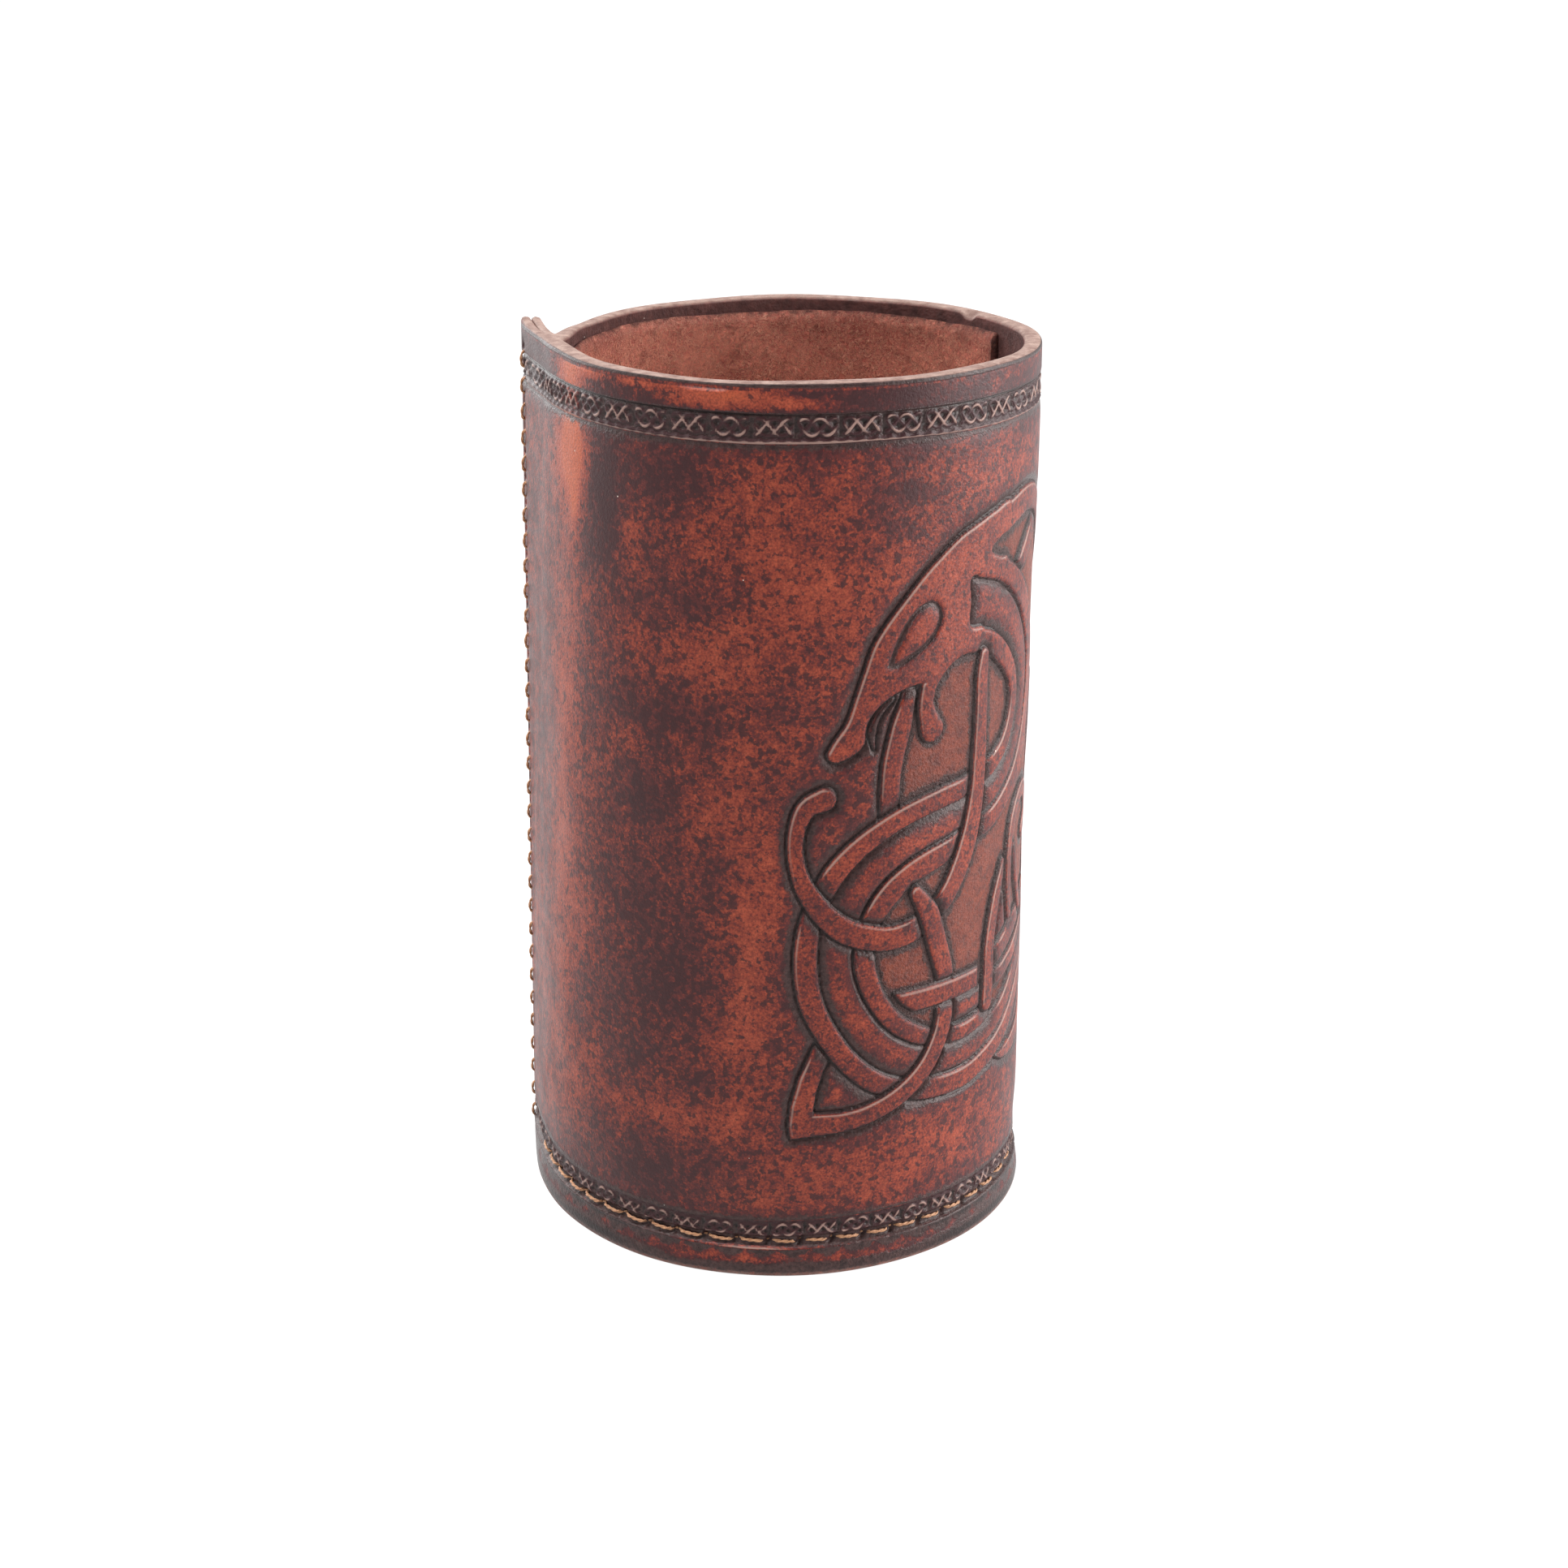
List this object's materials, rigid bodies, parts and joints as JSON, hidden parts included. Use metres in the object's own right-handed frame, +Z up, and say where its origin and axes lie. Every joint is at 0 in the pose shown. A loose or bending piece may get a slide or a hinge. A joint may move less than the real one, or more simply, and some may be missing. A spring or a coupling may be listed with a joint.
{
  "type": "leather dice cup",
  "caption": "Round standing cup of tooled leather with a sewn side seam, a sewn-in raised base and a suede lining, for shaking dice.",
  "frame": {"origin": "middle of the cup's outline seen from above, on the surface it stands on", "axes": "+Z up out of the mouth, -Y towards the front, the side seam at -X"},
  "size_m": [0.0818, 0.0786, 0.138],
  "materials": {
    "tooled_leather": "mottled red-brown dye over dark antique, waxed to a satin sheen, carved and stamped",
    "suede": "fibrous reddish-brown suede, matt",
    "base_leather": "dark dyed smooth leather, low sheen",
    "waxed_thread": "tan waxed linen thread, twisted"
  },
  "bodies": {
    "root": {"outer_wall": "tooled_leather", "wall_lining": "suede", "base_dish": "base_leather", "floor_pad": "suede", "seam_thread": "waxed_thread", "base_thread": "waxed_thread"}
  },
  "joints": []
}
